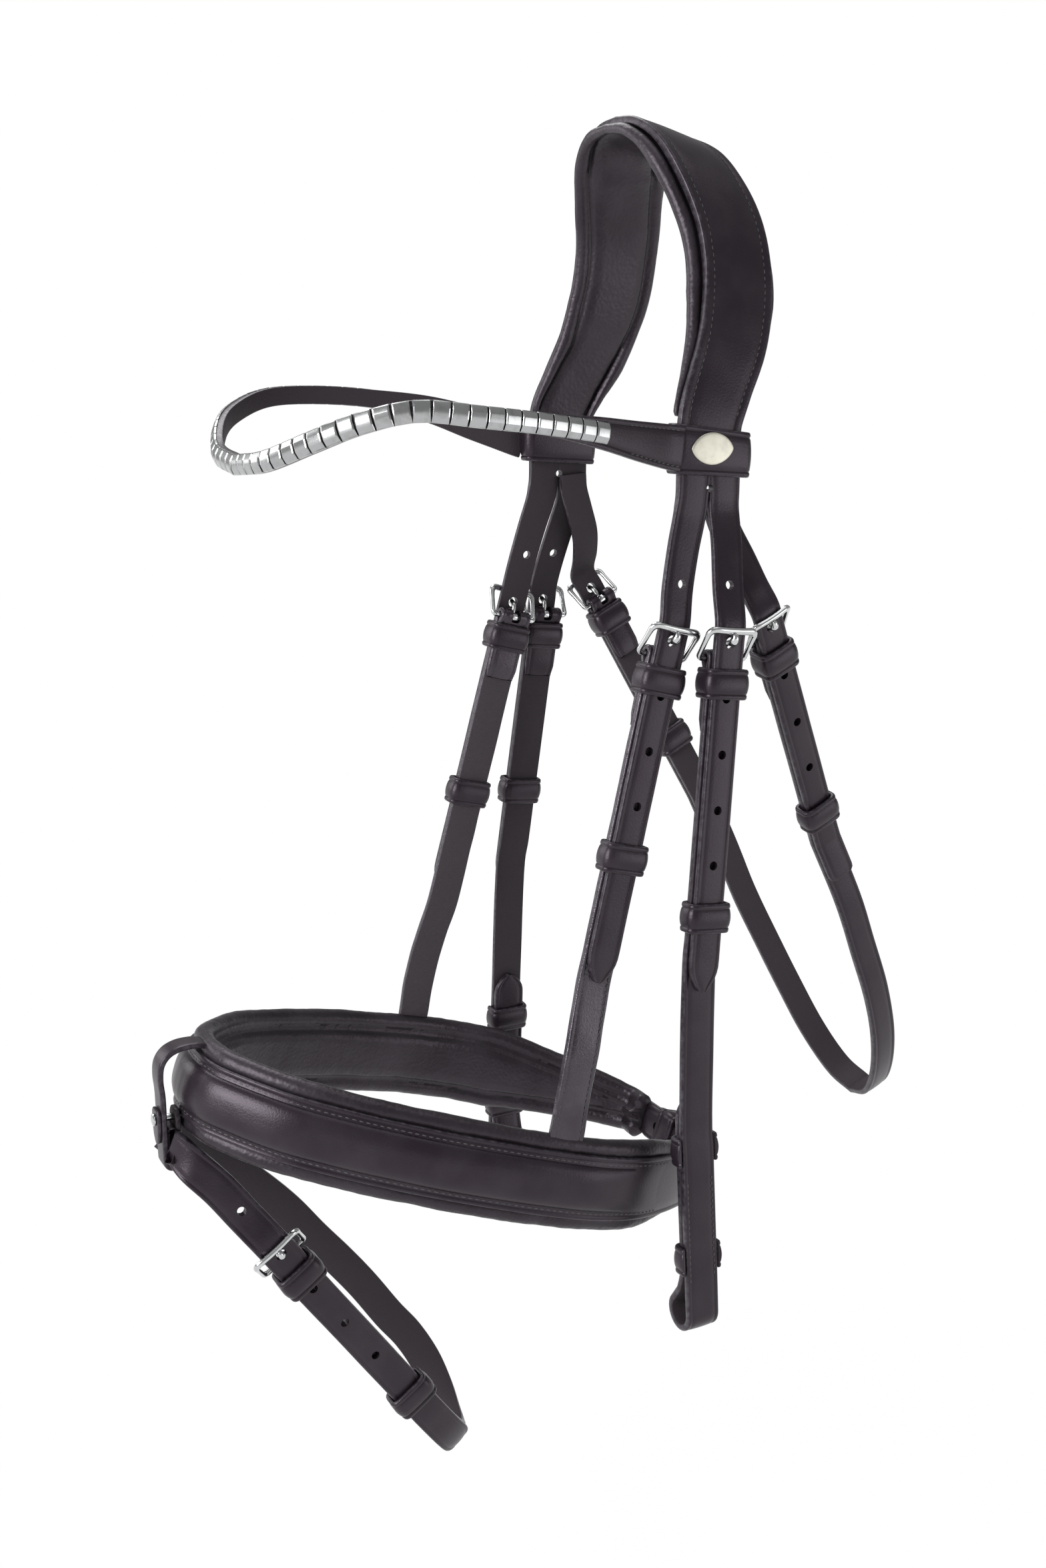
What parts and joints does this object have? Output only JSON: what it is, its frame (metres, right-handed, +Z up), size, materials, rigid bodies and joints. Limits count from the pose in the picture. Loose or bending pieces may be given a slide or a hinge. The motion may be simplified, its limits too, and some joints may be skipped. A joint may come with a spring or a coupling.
{
  "type": "snaffle bridle",
  "caption": "Leather snaffle bridle with a padded crown, browband with a metal clincher, buckled cheekpieces, throatlash, and padded noseband with a flash strap.",
  "frame": {"origin": "underside of the crown's middle, where it rests on the poll", "axes": "+X to the horse's left (near side), +Y to its tail, +Z up"},
  "size_m": [0.1954, 0.3754, 0.5947],
  "materials": {
    "leather": "satin black leather",
    "padding": "soft matte black leather",
    "steel": "polished",
    "badge": "satin, blank"
  },
  "bodies": {
    "headpiece": {"headpiece_leather": "leather", "headpiece_padding": "padding"},
    "browband": {"browband": "leather", "browband_clincher": "steel", "near_badge": "badge", "off_badge": "badge"},
    "near_cheek": {"near_cheek_billet": "leather", "near_cheek_strap": "leather", "near_cheek_buckle": "steel", "near_cheek_keepers": "leather", "near_hook_stud": "steel"},
    "near_cheek_prong": {"near_cheek_prong": "steel"},
    "near_cheek_runner": {"near_cheek_runner": "leather"},
    "off_cheek": {"off_cheek_billet": "leather", "off_cheek_strap": "leather", "off_cheek_buckle": "steel", "off_cheek_keepers": "leather", "off_hook_stud": "steel"},
    "off_cheek_prong": {"off_cheek_prong": "steel"},
    "off_cheek_runner": {"off_cheek_runner": "leather"},
    "noseband": {"noseband_leather": "leather", "noseband_panel": "leather", "noseband_padding": "padding", "noseband_buckle": "steel", "noseband_keeper": "leather", "near_hanger_billet": "leather", "near_hanger_strap": "leather", "near_hanger_buckle": "steel", "near_hanger_keeper": "leather", "off_hanger_billet": "leather", "off_hanger_strap": "leather", "off_hanger_buckle": "steel", "off_hanger_keeper": "leather"},
    "noseband_prong": {"noseband_prong": "steel"},
    "near_hanger_prong": {"near_hanger_prong": "steel"},
    "near_hanger_runner": {"near_hanger_runner": "leather"},
    "off_hanger_prong": {"off_hanger_prong": "steel"},
    "off_hanger_runner": {"off_hanger_runner": "leather"},
    "flash": {"flash_loop": "leather", "flash_stud": "steel", "flash_strap": "leather", "flash_buckle": "steel", "flash_keeper": "leather"},
    "flash_prong": {"flash_prong": "steel"},
    "flash_runner": {"flash_runner": "leather"},
    "throat": {"near_throat_billet": "leather", "off_throat_billet": "leather", "throatlash": "leather", "near_throat_buckle": "steel", "near_throat_keeper": "leather", "off_throat_buckle": "steel", "off_throat_keeper": "leather"},
    "near_throat_prong": {"near_throat_prong": "steel"},
    "near_throat_runner": {"near_throat_runner": "leather"},
    "off_throat_prong": {"off_throat_prong": "steel"},
    "off_throat_runner": {"off_throat_runner": "leather"}
  },
  "joints": [
    {"name": "browband_slide", "type": "slide", "parent": "headpiece", "child": "browband", "axis": [0, 0, 1], "range_m": [-0.0035, 0]},
    {"name": "near_cheek_swing", "type": "hinge", "parent": "headpiece", "child": "near_cheek", "pos_m": [0.0637, 0.0065, -0.13955], "axis": [0, -1, 0], "range_deg": [0, 10]},
    {"name": "near_cheek_prong_turn", "type": "hinge", "parent": "near_cheek", "child": "near_cheek_prong", "pos_m": [0.07601, -0.00074, -0.20717], "axis": [0.0069, 0.9944, -0.1058], "range_deg": [0, 2.5]},
    {"name": "near_cheek_runner_slide", "type": "slide", "parent": "near_cheek", "child": "near_cheek_runner", "axis": [0.065, -0.1061, -0.9922], "range_m": [-0.04, 0.015]},
    {"name": "off_cheek_swing", "type": "hinge", "parent": "headpiece", "child": "off_cheek", "pos_m": [-0.0637, 0.0065, -0.13955], "axis": [0, 1, 0], "range_deg": [0, 10]},
    {"name": "off_cheek_prong_turn", "type": "hinge", "parent": "off_cheek", "child": "off_cheek_prong", "pos_m": [-0.07601, -0.00074, -0.20717], "axis": [0.0069, -0.9944, 0.1058], "range_deg": [0, 2.5]},
    {"name": "off_cheek_runner_slide", "type": "slide", "parent": "off_cheek", "child": "off_cheek_runner", "axis": [-0.065, -0.1061, -0.9922], "range_m": [-0.04, 0.015]},
    {"name": "noseband_swing", "type": "hinge", "parent": "headpiece", "child": "noseband", "pos_m": [0, -0.0085, -0.13955], "axis": [1, 0, 0], "range_deg": [-4, 0]},
    {"name": "noseband_prong_turn", "type": "hinge", "parent": "noseband", "child": "noseband_prong", "pos_m": [0.011, 0.02622, -0.45308], "axis": [0, 0.3102, 0.9507], "range_deg": [0, 2.5]},
    {"name": "near_hanger_prong_turn", "type": "hinge", "parent": "noseband", "child": "near_hanger_prong", "pos_m": [0.06581, -0.02324, -0.20591], "axis": [0.0094, 0.9686, -0.2484], "range_deg": [0, 2.5]},
    {"name": "near_hanger_runner_slide", "type": "slide", "parent": "noseband", "child": "near_hanger_runner", "axis": [0.0365, -0.2486, -0.9679], "range_m": [-0.03, 0.03]},
    {"name": "off_hanger_prong_turn", "type": "hinge", "parent": "noseband", "child": "off_hanger_prong", "pos_m": [-0.06581, -0.02324, -0.20591], "axis": [0.0094, -0.9686, 0.2484], "range_deg": [0, 2.5]},
    {"name": "off_hanger_runner_slide", "type": "slide", "parent": "noseband", "child": "off_hanger_runner", "axis": [-0.0365, -0.2486, -0.9679], "range_m": [-0.03, 0.03]},
    {"name": "flash_swing", "type": "hinge", "parent": "noseband", "child": "flash", "pos_m": [0, -0.2013, -0.366], "axis": [-1, 0, 0], "range_deg": [0, 15]},
    {"name": "flash_prong_turn", "type": "hinge", "parent": "flash", "child": "flash_prong", "pos_m": [0.0232, -0.17811, -0.45709], "axis": [-0.0056, 0.8188, 0.574], "range_deg": [0, 2.5]},
    {"name": "flash_runner_slide", "type": "slide", "parent": "flash", "child": "flash_runner", "axis": [-0.0508, 0.573, -0.818], "range_m": [-0.03, 0.01]},
    {"name": "throatlash_swing", "type": "hinge", "parent": "headpiece", "child": "throat", "pos_m": [0, 0.0055, -0.13955], "axis": [1, 0, 0], "range_deg": [0, 10]},
    {"name": "near_throat_prong_turn", "type": "hinge", "parent": "throat", "child": "near_throat_prong", "pos_m": [0.0688, 0.02632, -0.20056], "axis": [0.0099, 0.8952, 0.4455], "range_deg": [0, 2.5]},
    {"name": "near_throat_runner_slide", "type": "slide", "parent": "throat", "child": "near_throat_runner", "axis": [-0.1874, 0.4393, -0.8786], "range_m": [-0.03, 0.008]},
    {"name": "off_throat_prong_turn", "type": "hinge", "parent": "throat", "child": "off_throat_prong", "pos_m": [-0.0688, 0.02632, -0.20056], "axis": [0.0099, -0.8952, -0.4455], "range_deg": [0, 2.5]},
    {"name": "off_throat_runner_slide", "type": "slide", "parent": "throat", "child": "off_throat_runner", "axis": [0.1874, 0.4393, -0.8786], "range_m": [-0.03, 0.008]}
  ]
}
